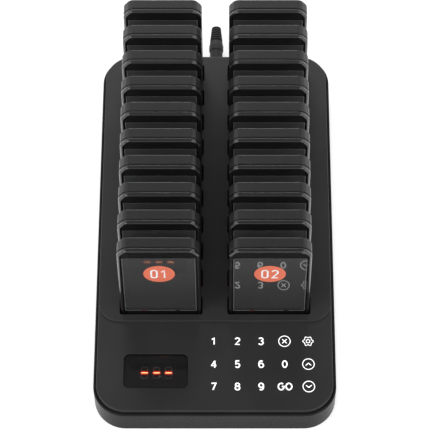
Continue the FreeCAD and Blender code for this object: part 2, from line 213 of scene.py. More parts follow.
class Patchwork:
    """Gathers surfaces that carry their own normals and welds them into one mesh."""

    def __init__(self):
        self.points, self.normals, self.faces, self.slots = [], [], [], []

    def add(self, ring, place=FLAT):
        """Adds (point, normal) pairs and returns their numbers."""
        spin = place.to_3x3().inverted().transposed()
        first = len(self.points)
        for point, normal in ring:
            self.points.append(place @ Vector(point))
            self.normals.append((spin @ Vector(normal)).normalized())
        return list(range(first, len(self.points)))

    def around(self, shape, height, place=FLAT, facing=0):
        """Adds an outline at one height, facing out (1), in (-1) or up (0)."""
        ring = [((p.x, p.y, height), (n.x * facing, n.y * facing, 1 - abs(facing))) for p, n in shape()]
        return self.add(ring, place)

    def face(self, corners, slot=0):
        self.faces.append(tuple(corners))
        self.slots.append(slot)

    def band(self, low, high, slot=0, closed=True):
        count = len(low)
        for i in range(count if closed else count - 1):
            j = (i + 1) % count
            self.face((low[i], low[j], high[j], high[i]), slot)

    def sweep(self, shape, path, place=FLAT, steps=3, slot=0):
        """Carries a path of (out, height, radius) round an outline."""
        for run in smooth_runs(path, steps):
            previous = None
            for p, n in run:
                ring = [((q.x, q.y, p.y), (m.x * n.x, m.y * n.x, n.y)) for q, m in shape(-p.x)]
                current = self.add(ring, place)
                if previous:
                    self.band(previous, current, slot)
                previous = current

    def roll(self, shape, radius_of, foot, top, place=FLAT, steps=6):
        """A wall rolled over into a flat top, with a radius that follows the wall's direction."""
        low = self.around(shape, foot, place, facing=1)
        for k in range(steps + 1):
            c, s = math.cos(math.pi / 2 * k / steps), math.sin(math.pi / 2 * k / steps)
            ring = []
            for p, n in shape():
                r = radius_of(n)
                q = p - n * r * (1 - c)
                ring.append(((q.x, q.y, top - r * (1 - s)), (n.x * c, n.y * c, s)))
            high = self.add(ring, place)
            self.band(low, high)
            low = high
        return [p - n * radius_of(n) for p, n in shape()]

    def lid(self, loops, height, place=FLAT, up=1, slot=0):
        """A flat face at one height. The first loop is its edge, the others are holes."""
        flat, cells = filled(loops)
        ids = self.add([((p.x, p.y, height), (0, 0, up)) for p in flat], place)
        for cell in cells:
            self.face([ids[i] for i in cell], slot)

    def welded(self):
        """One point for each place, and the number of the place that each point is in."""
        found, where, points = {}, [], []
        for p in self.points:
            key = tuple(round(v * WELDS_PER_MM) for v in p)
            if key not in found:
                found[key] = len(points)
                points.append(p * MM)
            where.append(found[key])
        return points, where

    def turned_out(self, face, where):
        """The face without doubled corners, wound to suit its normals."""
        kept = [c for k, c in enumerate(face) if where[c] != where[face[k - 1]]]
        across = Vector()
        for k, c in enumerate(kept):
            across += self.points[kept[k - 1]].cross(self.points[c])
        if across.dot(sum((self.normals[c] for c in kept), Vector())) < 0:
            kept.reverse()
        return kept

    def mesh(self, name, *materials):
        points, where = self.welded()
        faces, slots, normals = [], [], []
        for face, slot in zip(self.faces, self.slots):
            kept = self.turned_out(face, where)
            if len({where[c] for c in kept}) < 3:
                continue
            faces.append([where[c] for c in kept])
            slots.append(slot)
            normals += [self.normals[c] for c in kept]
        data = bpy.data.meshes.new(name)
        data.from_pydata(points, [], faces)
        data.polygons.foreach_set("material_index", slots)
        data.normals_split_custom_set(normals)
        for material in materials:
            data.materials.append(material)
        return data


def piece(name, data, body, place=FLAT, stands_for=()):
    """A mesh in the scene, riding on its body. place is in millimetres."""
    thing = bpy.data.objects.new(name, data)
    bpy.context.scene.collection.objects.link(thing)
    matrix = place.copy()
    matrix.translation = place.translation * MM
    thing.matrix_world = matrix
    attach(thing, body)
    if stands_for:
        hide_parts(*stands_for)
    return thing


# ---- Material nodes ------------------------------------------------------
DRIFT_SCALE, DRIFT_DETAIL = 28.0, 3.0


def plain(name):
    material = bpy.data.materials.new(name)
    material.use_nodes = True
    return material, material.node_tree, material.node_tree.nodes["Principled BSDF"]


def set_sockets(node, values):
    for socket, value in values.items():
        node.inputs[socket].default_value = value


def new_node(tree, kind, values=None, operation=None):
    node = tree.nodes.new("ShaderNode" + kind)
    if operation:
        node.operation = operation
    set_sockets(node, values or {})
    return node


def maths(tree, operation, *sources):
    """A node for one step of arithmetic on other nodes' outputs."""
    node = new_node(tree, "Math", operation=operation)
    for source, socket in zip(sources, node.inputs):
        tree.links.new(source, socket)
    return node


def noise(tree, scale, detail=2.0):
    """Noise that stays fixed to the object. The scale is per metre."""
    node = new_node(tree, "TexNoise", {"Scale": scale, "Detail": detail})
    tree.links.new(new_node(tree, "TexCoord").outputs["Object"], node.inputs["Vector"])
    return node.outputs["Fac"]


def two_tones(tree, source, positions, *tones):
    """A ramp from one tone to another."""
    node = new_node(tree, "ValToRGB")
    for end, position, tone in zip(node.color_ramp.elements, positions, tones):
        end.position = position
        end.color = (*tone, 1)
    tree.links.new(source, node.inputs["Fac"])
    return node.outputs["Color"]


def own_place(tree):
    """The object's own coordinates, as a node with outputs X, Y and Z."""
    node = new_node(tree, "SeparateXYZ")
    tree.links.new(new_node(tree, "TexCoord").outputs["Object"], node.inputs["Vector"])
    return node


def between(tree, source, span, values):
    """Turns a source's span of numbers into another span, and stops at both ends."""
    node = new_node(tree, "MapRange", {"From Min": span[0], "From Max": span[1],
                                       "To Min": values[0], "To Max": values[1]})
    tree.links.new(source, node.inputs["Value"])
    return node.outputs["Result"]


def painted_height_shade(tree, colour, low, high, gain):
    """A colour that grows lighter from one height to another, in metres: painted light and shade by
    height.
    """
    painted_gain = between(tree, own_place(tree).outputs["Z"], (low, high), (1.0, gain))
    scaled = new_node(tree, "VectorMath", operation="SCALE")
    tree.links.new(colour, scaled.inputs[0])
    tree.links.new(painted_gain, scaled.inputs["Scale"])
    return scaled.outputs["Vector"]


# ---- Materials -----------------------------------------------------------
def moulded(name, colour, roughness, grain=0.35, bump=0.12, mottle=0.12, spread=0.06,
            specular=0.5, coat=0.0, metallic=0.0, coat_ior=1.5, coat_blur=0.03, painted_light_rise=None):
    """Moulded surface: colour and gloss drift softly over it, with a fine grain on top. Given two
    heights and a gain, it also paints light and shade by height into the colour.
    """
    material, tree, shader = plain(name)
    dark = [c * (1 - mottle) for c in colour]
    light = [min(c * (1 + mottle), 1) for c in colour]
    tone = two_tones(tree, noise(tree, DRIFT_SCALE, DRIFT_DETAIL), (0.35, 0.65), dark, light)
    # Painted light and shade: the colour is scaled up from the lower height to the upper one.
    if painted_light_rise:
        tone = painted_height_shade(tree, tone, *painted_light_rise)
    tree.links.new(tone, shader.inputs["Base Color"])
    fine = noise(tree, 1.0 / (grain * MM))
    gloss = between(tree, fine, (0.3, 0.7), (max(roughness - spread, 0.02), roughness + spread))
    tree.links.new(gloss, shader.inputs["Roughness"])
    if bump:
        relief = new_node(tree, "Bump", {"Strength": bump, "Distance": 0.05 * MM})
        tree.links.new(fine, relief.inputs["Height"])
        tree.links.new(relief.outputs["Normal"], shader.inputs["Normal"])
    set_sockets(shader, {"Specular IOR Level": specular, "Metallic": metallic, "Coat Weight": coat,
                         "Coat Roughness": coat_blur, "Coat IOR": coat_ior})
    return material


def glowing(material, colour, strength):
    """Light from behind a printed legend."""
    shader = material.node_tree.nodes["Principled BSDF"]
    set_sockets(shader, {"Emission Color": (*colour, 1), "Emission Strength": strength})
    return material


def lit(name, core, edge, strength, reach, length=0.0):
    """A glowing surface, hottest along its own X axis and fading over reach metres."""
    material, tree, shader = plain(name)
    place = own_place(tree)
    away = maths(tree, "ABSOLUTE", place.outputs["Y"])
    along = maths(tree, "ABSOLUTE", place.outputs["X"])
    past = maths(tree, "SUBTRACT", along.outputs[0])
    past.inputs[1].default_value = length / 2
    far = maths(tree, "MAXIMUM", away.outputs[0], past.outputs[0])
    ramp = new_node(tree, "ValToRGB")
    ramp.color_ramp.elements[0].color = (*core, 1)
    ramp.color_ramp.elements[1].color = (*[c * 0.05 for c in edge], 1)
    for position, colour in ((0.18, core), (0.26, edge), (0.66, edge)):
        ramp.color_ramp.elements.new(position).color = (*colour, 1)
    tree.links.new(between(tree, far.outputs[0], (0, reach), (0, 1)), ramp.inputs["Fac"])
    tree.links.new(ramp.outputs["Color"], shader.inputs["Emission Color"])
    set_sockets(shader, {"Base Color": (0.05, 0.01, 0.01, 1), "Emission Strength": strength})
    return material


def smoked(name, tint):
    """Clear smoked plastic whose tint and gloss drift a little."""
    material, tree, shader = plain(name)
    drift = noise(tree, 60.0)
    tone = two_tones(tree, drift, (0, 1), [c * 0.97 for c in tint], [c * 1.03 for c in tint])
    tree.links.new(tone, shader.inputs["Base Color"])
    tree.links.new(between(tree, drift, (0, 1), (0.01, 0.05)), shader.inputs["Roughness"])
    set_sockets(shader, {"Transmission Weight": 0.965, "IOR": 1.49})
    return material


# The tub's colour darkens towards the floor: painted shade on the lower wall.
HOUSING = moulded("housing_black", (0.0075, 0.0075, 0.0077), 0.28, specular=0.05, painted_light_rise=(0.0, 0.02, 2.6))
COVER = moulded("cover_black", (0.0190, 0.0190, 0.0192), 0.46, specular=0.4)
PAGER_FRONT = moulded("pager_front_black", (0.0090, 0.0090, 0.0092), 0.5, bump=0.05, specular=0.08,
                      coat=1.0, coat_ior=1.75)
PAGER_BACK = moulded("pager_back_black", (0.0150, 0.0150, 0.0152), 0.5, bump=0.10, specular=0.12,
                     coat=0.5, coat_blur=0.14)
GLASS_BLACK = moulded("window_border_black", (0.0125, 0.0125, 0.0127), 0.4, bump=0.0, specular=0.0,
                      coat=1.0)
# The insert's colour grows lighter towards the top: painted light on the window.
GLASS_GREY = moulded("window_insert_grey", (0.0400, 0.0400, 0.0405), 0.04, bump=0.0, spread=0.005,
                     coat=1.0, mottle=0.04, painted_light_rise=(0.02, 0.07, 1.5))
LINE_GREY = moulded("window_edge_grey", (0.17, 0.17, 0.17), 0.35, bump=0.0)
CORAL = moulded("label_coral", (0.79, 0.195, 0.115), 0.5, grain=0.2, bump=0.05, mottle=0.04,
                specular=0.3)
LABEL_WHITE = moulded("label_white", (0.93, 0.94, 0.96), 0.45, bump=0.0, mottle=0.03)
PRINT = glowing(moulded("legend_white", (0.90, 0.90, 0.90), 0.45, bump=0.0, mottle=0.02),
                (1, 1, 1), 0.55)
RUBBER = moulded("foot_rubber", (0.013, 0.013, 0.013), 0.75, grain=0.5, bump=0.25)
PLUG = moulded("plug_black", (0.0420, 0.0420, 0.0424), 0.50, bump=0.16, specular=0.12)
SMALL = moulded("small_black", (0.010, 0.010, 0.010), 0.42)
METAL = moulded("plated_metal", (0.66, 0.63, 0.57), 0.28, grain=0.15, bump=0.08, metallic=1.0)
BOARD = moulded("board_green", (0.010, 0.060, 0.028), 0.30, grain=0.6, bump=0.1, coat=0.5)
LED_BLOCK = moulded("led_block_grey", (0.018, 0.018, 0.020), 0.4)
LED_OFF = moulded("segment_unlit", (0.44, 0.42, 0.42), 0.4, bump=0.0)
SCREW = moulded("screw_steel", (0.30, 0.30, 0.31), 0.32, grain=0.2, bump=0.1, metallic=1.0)
# Darker and duller than the cover plastic: painted shade inside the display recess.
RECESS_SHADE = moulded("recess_painted_shade", (0.006, 0.006, 0.006), 0.6, specular=0.1)
LED_ON = lit("segment_lit", (1.0, 0.66, 0.22), (0.36, 0.001, 0.004), 7.5, 1.6 * MM, 3.6 * MM)
LAMP = lit("lamp_red", (1.0, 0.03, 0.02), (1.0, 0.02, 0.015), 1.5, 40 * MM)
LAMP_DIM = lit("lamp_dim", (1.0, 0.08, 0.10), (1.0, 0.08, 0.10), 0.05, 40 * MM)
SMOKE = smoked("display_smoke", (0.27, 0.26, 0.26))


# ---- Housing -------------------------------------------------------------
def four_spots(x, from_end):
    """The same place near each of the base's four corners."""
    y = HALF_L - from_end
    return [(sx * x, sy * y) for sy in (-1, 1) for sx in (-1, 1)]


HULL = outline(rectangle(-HALF_W, HALF_W, -HALF_L, HALF_L, CORNER_R), CORNER_STEPS)
FOOT_SPOTS = four_spots(HALF_W - FOOT_FROM_SIDE, FOOT_FROM_END)
SCREW_SPOTS = four_spots(SCREW_X, SCREW_FROM_END)


def foot_square(x, y, half):
    return outline(rectangle(x - half, x + half, y - half, y + half, FOOT_R), 4)


def open_rear_wall(work):
    """Makes the rear wall's flat again, with a hole for the power inlet."""
    flat_x = HALF_W - CORNER_R
    low, high = FLOOR_Z + SHELL_FOOT_R, SHELL_TOP - RIM_ROUND
    kept = []
    for face, slot in zip(work.faces, work.slots):
        corners = [work.points[c] for c in face]
        wall = all(abs(p.y - HALF_L) < 0.01 for p in corners)
        wide = max(p.x for p in corners) - min(p.x for p in corners) > flat_x
        tall = max(p.z for p in corners) - min(p.z for p in corners) > (high - low) / 2
        if not (wall and wide and tall):
            kept.append((face, slot))
    work.faces, work.slots = [f for f, _ in kept], [s for _, s in kept]
    edge = [Vector(p) for p in ((-flat_x, low), (flat_x, low), (flat_x, high), (-flat_x, high))]
    at_rear = Matrix.Translation((0, HALF_L, 0)) @ FACING_REAR
    hole = circle(0, JACK_Z, JACK_HOLE_R)
    ease = 0.3
    work.lid([edge, loop(hole, -ease)], 0, at_rear)
    work.sweep(hole, [(ease, 0), (0, 0, ease), (0, -SHELL_WALL)], at_rear)


def underside(work):
    """The floor of the housing, with recesses for the feet and the screws."""
    recesses = [(foot_square(x, y, FOOT_HALF), 0.2, FOOT_RECESS) for x, y in FOOT_SPOTS]
    recesses += [(circle(x, y, SCREW_HOLE_R, 24), 0.3, SCREW_HOLE_DEPTH) for x, y in SCREW_SPOTS]
    holes = [loop(shape, -ease) for shape, ease, _ in recesses]
    work.lid([loop(HULL, FLOOR_MARGIN)] + holes, FLOOR_Z, up=-1)
    for shape, ease, depth in recesses:
        work.sweep(shape, [(0, FLOOR_Z + depth), (0, FLOOR_Z, ease), (ease, FLOOR_Z)], steps=2)
        work.lid([loop(shape)], FLOOR_Z + depth, up=-1)


def tub():
    work = Patchwork()
    work.sweep(HULL, [(-FLOOR_MARGIN, FLOOR_Z), (0, FLOOR_Z, SHELL_FOOT_R), (0, SHELL_TOP, RIM_ROUND),
                      (-RIM_WIDTH, SHELL_TOP, 0.25), (-RIM_WIDTH, SEAT_TOP), (-SHELL_WALL, SEAT_TOP)],
               steps=5)
    open_rear_wall(work)
    underside(work)
    return work.mesh("housing_tub", HOUSING)


# ---- Cover ---------------------------------------------------------------
COVER_X, COVER_Y, COVER_R = HALF_W - COVER_INSET, HALF_L - COVER_INSET, CORNER_R - COVER_INSET
PLATE = outline(rectangle(-COVER_X, COVER_X, -COVER_Y, COVER_Y, COVER_R), CORNER_STEPS)
DECK = outline(rectangle(-COVER_X, COVER_X, STEP_Y, COVER_Y, DECK_FRONT_R, COVER_R), CORNER_STEPS)
OPENING = outline(rectangle(*WINDOW), 8)


def slot_places():
    """Each pager's number, and the middle of its front face at the deck's level."""
    for row in range(ROWS):
        for side in (-1, 1):
            number = 2 * row + (side + 3) // 2
            yield number, Vector((side * COLUMN_X, FIRST_FACE_Y + row * ROW_PITCH, DECK_TOP))


def slot_mouth(at):
    """A slot's mouth, an outline, and a place that leans the depth with the pager."""
    lean = Matrix.Identity(4)
    lean[1][2] = math.tan(LEAN)
    c = math.cos(LEAN)
    shape = outline(rectangle(at.x - SLOT_HALF_W, at.x + SLOT_HALF_W,
                              at.y - SLOT_FRONT / c, at.y + SLOT_REAR / c, SLOT_R), 4)
    return shape, Matrix.Translation((0, 0, DECK_TOP)) @ lean


def panel(work):
    """The cover's edge, and the panel, whose flat ends under the deck's front edge."""
    work.sweep(PLATE, [(-1.6, SEAT_TOP), (0, SEAT_TOP, 0.15), (0, PANEL_TOP, COVER_ROUND),
                       (-COVER_ROUND, PANEL_TOP)], steps=6)
    front, under = loop(PLATE, COVER_ROUND), loop(DECK, COVER_ROUND + 0.1)
    half = len(front) // 2
    right, left = half - 1, 0
    edge = (front[:half] + [Vector((front[right].x, under[right].y))] + under[right::-1]
            + [Vector((front[left].x, under[left].y))])
    work.lid([edge, loop(OPENING, -WINDOW_EASE)], PANEL_TOP)


def display_opening(work):
    """Down to a sloping ledge for the pane, then a square shaft to the board."""
    x0, x1, y0, y1, _ = WINDOW
    shaft = outline(rectangle(x0 + SHAFT_INSET, x1 - SHAFT_INSET, y0 + SHAFT_INSET, y1 - SHAFT_INSET,
                              SHAFT_R), 8)
    fall = math.tan(WINDOW_TILT)
    slope = Matrix.Identity(4)
    slope[2][1] = -fall
    slope[2][3] = PANEL_TOP - WINDOW_SET_DOWN - PANE_T + y0 * fall
    eased = PANEL_TOP - WINDOW_EASE
    work.sweep(OPENING, [(WINDOW_EASE, PANEL_TOP), (0, PANEL_TOP, WINDOW_EASE), (0, eased)])
    # The ledge and shaft walls take the cover's second material: painted shade in the recess.
    work.band(work.around(OPENING, eased, facing=-1), work.around(OPENING, 0, slope, facing=-1), 1)
    work.band(work.around(OPENING, 0, slope), work.around(shaft, 0, slope), 1)
    work.band(work.around(shaft, 0, slope, facing=-1), work.around(shaft, SHAFT_FOOT, facing=-1), 1)


def slot_well(work, at):
    """An eased mouth, leaning walls, and a floor with a window for the pins."""
    mouth, lean = slot_mouth(at)
    tilted = Matrix.Translation(at) @ Matrix.Rotation(-LEAN, 4, "X")
    foot = outline(rectangle(-SLOT_HALF_W, SLOT_HALF_W, -SLOT_FRONT, SLOT_REAR, SLOT_R), 4)
    pins = outline(rectangle(*PIN_WINDOW, PIN_WINDOW_R), 3)
    work.sweep(mouth, [(SLOT_EASE, 0), (0, 0, SLOT_EASE), (0, -SLOT_MOUTH)], lean)
    work.band(work.around(mouth, -SLOT_MOUTH, lean, facing=-1),
              work.around(foot, -SLOT_BOTTOM, tilted, facing=-1))
    work.lid([loop(foot), loop(pins)], -SLOT_BOTTOM, tilted)
    work.sweep(pins, [(0, -SLOT_BOTTOM), (0, -SLOT_BOTTOM - WELL_WALL)], tilted)


def deck(work):
    """The raised deck. Its edge starts inside the panel and stands just proud of its side."""
    proud, sunk = 0.01, 1.5
    work.sweep(DECK, [(proud, PANEL_TOP - sunk), (proud, DECK_TOP, COVER_ROUND),
                      (-COVER_ROUND, DECK_TOP)], steps=6)
    mouths = [loop(slot_mouth(at)[0], -SLOT_EASE) for _, at in slot_places()]
    work.lid([loop(DECK, COVER_ROUND)] + mouths, DECK_TOP)
    for _, at in slot_places():
        slot_well(work, at)


def cover():
    work = Patchwork()
    panel(work)
    display_opening(work)
    deck(work)
    return work.mesh("housing_cover", COVER, RECESS_SHADE)


# ---- Feet and screws -----------------------------------------------------
def feet():
    work = Patchwork()
    top = FLOOR_Z + FOOT_RECESS - 0.02
    for x, y in FOOT_SPOTS:
        pad = foot_square(x, y, FOOT_HALF - FOOT_GAP)
        work.sweep(pad, [(-0.5, top), (0, top), (0, 0, 0.35), (-0.8, 0)])
        work.lid([loop(pad, 0.8)], 0, up=-1)
    return work.mesh("foot_pads", RUBBER)


def screw(work, x, y):
    """A rounded head with a cross recess, facing down."""
    root, face, deep = FLOOR_Z + 1.9, FLOOR_Z + 0.7, FLOOR_Z + 1.6
    bar, arm, edge_r = 2.2, 0.42, 0.5
    head = circle(x, y, SCREW_HEAD_R, 28)
    cross = [(-arm, -bar), (arm, -bar), (arm, -arm), (bar, -arm), (bar, arm), (arm, arm),
             (arm, bar), (-arm, bar), (-arm, arm), (-bar, arm), (-bar, -arm), (-arm, -arm)]
    drive = [Vector((x + a, y + b)) for a, b in cross]
    work.sweep(head, [(0, root), (0, face, edge_r), (-1.0, face)], steps=4)
    work.lid([loop(head, edge_r), drive], face, up=-1)
    work.lid([drive], deep, up=-1)
    for k, b in enumerate(drive):
        a = drive[k - 1]
        n = right_of((a - b).normalized())
        corners = ((a, face), (b, face), (b, deep), (a, deep))
        work.face(work.add([((p.x, p.y, z), (n.x, n.y, 0)) for p, z in corners]))


def screws():
    work = Patchwork()
    for x, y in SCREW_SPOTS:
        screw(work, x, y)
    return work.mesh("base_screws", SCREW)


piece("housing_tub", tub(), "base", stands_for=["base_shell"])
piece("housing_cover", cover(), "base", stands_for=["top_cover"])
piece("foot_pads", feet(), "base", stands_for=["rubber_feet"])
piece("base_screws", screws(), "base")


# ---- Display -------------------------------------------------------------
def display_pane():
    x0, x1, y0, y1, r = WINDOW
    margin, half = 0.5, (x1 - x0) / 2 - PANE_GAP
    shape = outline(rectangle(-half, half, PANE_GAP, y1 - y0 - PANE_GAP, r - PANE_GAP), 8)
    place = Matrix.Translation(((x0 + x1) / 2, y0, PANEL_TOP - WINDOW_SET_DOWN)) @ Matrix.Rotation(
        -WINDOW_TILT, 4, "X")
    work = Patchwork()
    work.sweep(shape, [(-margin, -PANE_T), (0, -PANE_T, 0.15), (0, 0, 0.2), (-margin, 0)], place)
    work.lid([loop(shape, margin)], 0, place)
    work.lid([loop(shape, margin)], -PANE_T, place, up=-1)
    return work.mesh("display_pane", SMOKE)


piece("display_pane", display_pane(), "base", stands_for=["display_window"])

MODULE_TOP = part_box("display_module")[1].z / MM
DIGIT_X, DIGIT_Y, DIGIT_PITCH = -40.35, -HALF_L + 32.1, 8.3
LEVEL_BAR_Y, UPRIGHT_BAR_X, UPRIGHT_BAR_Y = 4.1, 2.15, 2.05
SHORTER = Matrix.Diagonal((0.86, 1, 1, 1))


def segment(name, length, thick, height, material):
    """A flat bar with pointed ends."""
    a, b, r = length / 2, thick / 2, 0.08
    shape = outline([(-a + b, -b, r), (a - b, -b, r), (a, 0, 0.05), (a - b, b, r), (-a + b, b, r),
                     (-a, 0, 0.05)], 2)
    work = Patchwork()
    work.sweep(shape, [(0, 0), (0, height, 0.04), (-r, height)], steps=2)
    work.lid([loop(shape, r)], height)
    return work.mesh(name, material)


def segment_spots(x):
    """Where a digit's unlit segments lie: x, y and turn. Its middle one is lit."""
    level = [(x, DIGIT_Y + s * LEVEL_BAR_Y, 0) for s in (-1, 1)]
    return level + [(x + sx * UPRIGHT_BAR_X, DIGIT_Y + sy * UPRIGHT_BAR_Y, math.pi / 2)
                    for sy in (-1, 1) for sx in (-1, 1)]


UNLIT = segment("segment_off", 4.75, 0.95, 0.12, LED_OFF)
BRIGHT = segment("segment_on", 6.4, 3.4, 0.16, LED_ON)
for digit in range(3):
    middle_x = DIGIT_X + (digit - 1) * DIGIT_PITCH
    for k, (x, y, turn) in enumerate(segment_spots(middle_x)):
        place = Matrix.Translation((x, y, MODULE_TOP)) @ Matrix.Rotation(turn, 4, "Z") @ SHORTER
        piece(f"digit_{digit + 1}_segment_{k + 1}", UNLIT, "base", place)
    piece(f"digit_{digit + 1}_segment_lit", BRIGHT, "base",
          Matrix.Translation((middle_x, DIGIT_Y, MODULE_TOP)))

# ---- Printed touch legends -----------------------------------------------
PRINT_H, PRINT_GAP = 0.03, 0.005
KEY_RING_R, KEY_RING_LINE, KEY_BAR = 4.0, 0.62, 0.72
GEAR_R, GEAR_LOBE, GEAR_LOBES, GEAR_STEPS, GEAR_HUB = 3.15, 0.45, 6, 96, (1.3, 0.52)
CROSS_ARM, ARROW_ARM, ARROW_ANGLE, ARROW_X, ARROW_Y = 4.5, 2.8, 42, 0.93, 0.1
# Type has a width, a height, a line and a pitch.
KEY_TYPE, GO_TYPE, LABEL_TYPE = (4.0, 5.9, 0.98, 0), (4.95, 5.8, 1.0, 5.35), (5.1, 10.8, 1.25, 6.9)


def arc(x, y, rx, ry, start, end, steps=10):
    """Points on an ellipse, with its angles in degrees."""
    angles = [math.radians(start + (end - start) * k / steps) for k in range(steps + 1)]
    return [Vector((x + rx * math.cos(a), y + ry * math.sin(a))) for a in angles]


def pen_paths(character, a, b):
    """The pen's paths for one character whose centre lines reach a across and b up."""
    def points(*pairs):
        return [Vector((x * a, y * b)) for x, y in pairs]
    bowl = 0.56 * b
    if character == "0":
        r = min(a, b)
        return [(arc(0, b - r, a, r, 0, 180, 14) + arc(0, r - b, a, r, 180, 360, 14), True)]
    if character in "Oo":
        return [(arc(0, 0, a, b, 0, 350, 35), True)]
    if character == "1":
        return [(points((-0.95, 0.5), (0.12, 0.98), (0.12, -1)), False)]
    if character == "2":
        top = arc(0, b * 0.46, a, b * 0.54, 165, -25, 12)
        return [(top + points((-0.98, -1), (1.0, -1)), False)]
    if character == "3":
        return [(arc(-0.05 * a, b - 0.47 * b, a * 0.92, 0.47 * b, 155, -80, 12), False),
                (arc(-0.05 * a, bowl - b - 0.02 * b, a * 1.05, bowl, 84, -155, 14), False)]
    if character == "4":
        return [(points((0.45, -1.1), (0.45, 1.05)), False),
                (points((0.4, 0.95), (-0.98, -0.42), (1.15, -0.42)), False)]
    if character == "5":
        low = arc(0, 0.6 * b - b, a, 0.6 * b, 128, -150, 16)
        return [(points((0.85, 1), (-0.62, 1), (-0.78, -0.02)) + low[1:], False)]
    if character in "69":
        way = 1 if character == "6" else -1
        curve = [p * way for p in arc(0.04 * a, -0.36 * b, a, 0.64 * b, 180, 540, 26)]
        hook = [p * way for p in arc(0.04 * a, 0.2 * b, a, 0.8 * b, 180, 50, 10)]
        return [(curve[:-1], True), (hook, False), ([curve[0], hook[0]], False)]
    if character == "7":
        return [(points((-1, 1), (1, 1), (-0.35, -1)), False)]
    if character == "8":
        return [(arc(0, b - 0.46 * b, a * 0.86, 0.46 * b, 0, 345, 23), True),
                (arc(0, bowl - b, a, bowl, 0, 345, 23), True)]
    if character == "G":
        return [(arc(0, 0, a, b, 48, 332, 26) + points((0.98, 0.02), (0.2, 0.02)), False)]
    raise ValueError(character)


def stroke(work, path, closed, weight, high):
    """A pen line of one weight along a path, raised to a height."""
    count, offsets = len(path), []
    for i, p in enumerate(path):
        before = (p - path[i - 1]).normalized() if closed or i else None
        after = (path[(i + 1) % count] - p).normalized() if closed or i < count - 1 else None
        if before and after:
            across = right_of(before) + right_of(after)
            offsets.append(across * min(1 / across.dot(right_of(before)), 1.6))
        else:
            offsets.append(right_of(before or after))
    rails = [[p + n * side * weight / 2 for p, n in zip(path, offsets)] for side in (1, -1)]
    tops = [work.add([((p.x, p.y, high), (0, 0, 1)) for p in rail]) for rail in rails]
    work.band(*tops, closed=closed)
    for side, rail in zip((1, -1), rails):
        walls = [work.add([((p.x, p.y, z), (n.x * side, n.y * side, 0)) for p, n in zip(rail, offsets)])
                 for z in (0, high)]
        work.band(*walls, closed=closed)


def glyphs(name, text, type_size, material):
    """Characters as a thin raised print, centred on the origin."""
    work = Patchwork()
    width, height, weight, pitch = type_size
    a, b = (width - weight) / 2, (height - weight) / 2
    for k, character in enumerate(text):
        shift = Vector(((k - (len(text) - 1) / 2) * pitch, 0))
        for level, (path, closed) in enumerate(pen_paths(character, a, b)):
            stroke(work, [p + shift for p in path], closed, weight, PRINT_H + 0.002 * level)
    return work.mesh(name, material)


def bar(work, x, y, length, angle, high):
    half, width = length / 2, KEY_BAR / 2
    shape = outline(rectangle(-half, half, -width, width, KEY_BAR * 0.42), 3)
    place = Matrix.Translation((x, y, 0)) @ Matrix.Rotation(math.radians(angle), 4, "Z")
    work.sweep(shape, [(0, 0), (0, high)], place)
    work.lid([loop(shape)], high, place)


def ring(work, r, width):
    edge = circle(0, 0, r + width / 2, 48)
    work.sweep(edge, [(0, 0), (0, PRINT_H)])
    work.lid([loop(edge), loop(edge, width)], PRINT_H)
    work.sweep(circle(0, 0, r - width / 2, 48), [(0, PRINT_H), (0, 0)])


def cancel_key():
    work = Patchwork()
    ring(work, KEY_RING_R, KEY_RING_LINE)
    bar(work, 0, 0, CROSS_ARM, 45, PRINT_H)
    bar(work, 0, 0, CROSS_ARM, -45, PRINT_H * 1.1)
    return work.mesh("key_cancel", PRINT)


def arrow_key(name, way):
    work = Patchwork()
    ring(work, KEY_RING_R, KEY_RING_LINE)
    for side in (-1, 1):
        high = PRINT_H * (1.05 + 0.05 * side)
        bar(work, side * ARROW_X, -way * ARROW_Y, ARROW_ARM, -side * way * ARROW_ANGLE, high)
    return work.mesh(name, PRINT)


def gear_edge(out):
    """The gear's line with its six lobes, moved out from its middle."""
    points = []
    for k in range(GEAR_STEPS):
        a = math.tau * k / GEAR_STEPS
        r = GEAR_R + GEAR_LOBE * math.tanh(1.6 * math.cos(GEAR_LOBES * a)) + out
        points.append(Vector((r * math.cos(a), r * math.sin(a))))
    return points


def settings_key():
    work = Patchwork()
    half = KEY_RING_LINE / 2
    edges = gear_edge(half), gear_edge(-half)
    for points, way in zip(edges, (1, -1)):
        foot, top = [], []
        for k, p in enumerate(points):
            n = right_of((points[(k + 1) % GEAR_STEPS] - points[k - 1]).normalized()) * way
            foot.append(((p.x, p.y, 0), (n.x, n.y, 0)))
            top.append(((p.x, p.y, PRINT_H), (n.x, n.y, 0)))
        work.band(work.add(foot), work.add(top))
    work.lid(edges, PRINT_H)
    ring(work, *GEAR_HUB)
    return work.mesh("key_settings", PRINT)


def key_print(name):
    if name == "cancel":
        return cancel_key()
    if name == "settings":
        return settings_key()
    if name in ("up", "down"):
        return arrow_key(f"key_{name}", 1 if name == "up" else -1)
    if name == "GO":
        return glyphs("key_GO", name, GO_TYPE, PRINT)
    return glyphs(f"key_{name}", "o" if name == "0" else name, KEY_TYPE, PRINT)


KEY_PITCH = 16.385
KEY_X = [-0.7 + i * KEY_PITCH for i in range(5)]
KEY_Y = [-HALF_L + from_front for from_front in (54.8, 37.3, 20.35)]
KEYS = [["1", "2", "3", "cancel", "settings"], ["4", "5", "6", "0", "up"],
        ["7", "8", "9", "GO", "down"]]
for y, names in zip(KEY_Y, KEYS):
    for x, name in zip(KEY_X, names):
        place = Matrix.Translation((x, y, PANEL_TOP + PRINT_GAP))
        piece(f"key_{name}", key_print(name), "base", place)

